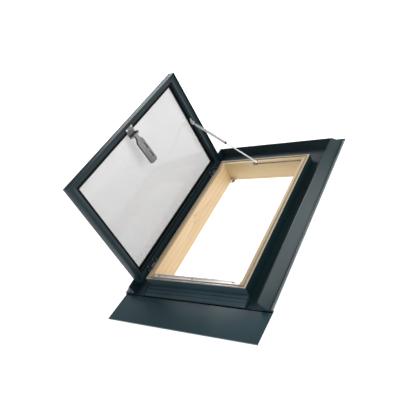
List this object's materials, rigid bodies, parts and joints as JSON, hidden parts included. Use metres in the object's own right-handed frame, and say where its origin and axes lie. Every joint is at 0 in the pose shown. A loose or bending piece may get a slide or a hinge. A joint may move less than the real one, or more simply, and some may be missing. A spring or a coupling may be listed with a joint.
{
  "type": "roof skylight",
  "caption": "Side-hung roof skylight: timber frame with sheet flashing and front apron, slim glazed sash held open by a gas stay, hinged lever handle.",
  "frame": {"origin": "centre of the timber frame at the plane of its lower faces, which is also the centre of the four fixing holes", "axes": "+X across the slope from the hinges to the lock side, +Y up the slope from foot to head, +Z out of the roof"},
  "size_m": [0.68, 1.0873, 0.5895],
  "materials": {
    "timber": "clear varnished pine",
    "flashing_paint": "satin slate grey paint on folded sheet",
    "sash_paint": "satin slate grey paint on extruded rails",
    "seal_grey": "soft grey foam weatherstrip",
    "rubber_black": "matt black glazing rubber",
    "plastic_black": "black moulded guide",
    "glass": "clear laminated glass",
    "aluminium": "mill finished strip",
    "steel_plate": "zinc plated pressed steel",
    "zinc_steel": "bright zinc plated steel",
    "cylinder_paint": "satin grey painted tube",
    "rod_steel": "ground and polished rod",
    "handle_metal": "satin grey cast handle"
  },
  "bodies": {
    "frame": {"head_board": "timber", "foot_board": "timber", "hinge_stile": "timber", "lock_stile": "timber", "corner_screws": "zinc_steel", "rim_seal": "seal_grey", "sill_strip": "aluminium", "sill_edge": "aluminium", "sill_screws": "zinc_steel", "flashing_head": "flashing_paint", "flashing_left": "flashing_paint", "flashing_right": "flashing_paint", "flashing_front": "flashing_paint", "apron": "flashing_paint", "corner_gussets": "flashing_paint", "flashing_screws": "flashing_paint", "fixing_angles": "steel_plate", "angle_screws": "zinc_steel", "corner_tab": "aluminium", "stay_track": "aluminium", "track_screws": "zinc_steel", "keeper_plate": "steel_plate", "keeper_peg": "zinc_steel", "keeper_screws": "zinc_steel", "hinge_leaf_frame_top": "steel_plate", "hinge_leaf_frame_foot": "steel_plate", "hinge_pin_top": "zinc_steel", "hinge_pin_foot": "zinc_steel", "hinge_leaf_screws": "zinc_steel"},
    "sash": {"sash_rail_hinge": "sash_paint", "sash_rail_lock": "sash_paint", "sash_rail_head": "sash_paint", "sash_rail_foot": "sash_paint", "corner_cleats": "steel_plate", "glass_pane": "glass", "glazing_gasket": "rubber_black", "glazing_tape": "rubber_black", "sash_seal": "rubber_black", "hinge_leaf_sash_top": "steel_plate", "hinge_leaf_sash_foot": "steel_plate", "sash_leaf_screws": "zinc_steel", "stay_bracket": "steel_plate", "stay_pin": "zinc_steel", "bracket_screws": "zinc_steel", "handle_bracket": "steel_plate", "handle_screws": "zinc_steel", "handle_pin": "zinc_steel"},
    "handle": {"handle_lever": "handle_metal"},
    "cylinder": {"stay_cylinder": "cylinder_paint", "stay_guide": "plastic_black"},
    "rod": {"stay_rod": "rod_steel"},
    "shoe": {"stay_shoe": "zinc_steel"}
  },
  "joints": [
    {"name": "sash_hinge", "type": "hinge", "parent": "frame", "child": "sash", "pos_m": [-0.2447, 0, 0.0953], "axis": [0, 1, 0], "range_deg": [0, 92.8]},
    {"name": "handle_swing", "type": "hinge", "parent": "sash", "child": "handle", "pos_m": [-0.26196, 0, 0.53618], "axis": [0, -1, 0], "range_deg": [-8, 77]},
    {"name": "stay_swivel", "type": "hinge", "parent": "sash", "child": "cylinder", "pos_m": [-0.25615, 0.34, 0.35605], "axis": [0, 1, 0], "range_deg": [-143.94, 0]},
    {"name": "rod_slide", "type": "slide", "parent": "cylinder", "child": "rod", "axis": [0.6917, 0, -0.7221], "range_m": [-0.14733, 0]},
    {"name": "shoe_slide", "type": "slide", "parent": "frame", "child": "shoe", "axis": [1, 0, 0], "range_m": [0, 0.231]}
  ],
  "couplings": [
    {"joint": "stay_swivel", "follows": "sash_hinge", "ratio": -1.5457},
    {"joint": "rod_slide", "follows": "sash_hinge", "m_per_rad": -0.090656},
    {"joint": "shoe_slide", "follows": "sash_hinge", "m_per_rad": 0.14231}
  ]
}
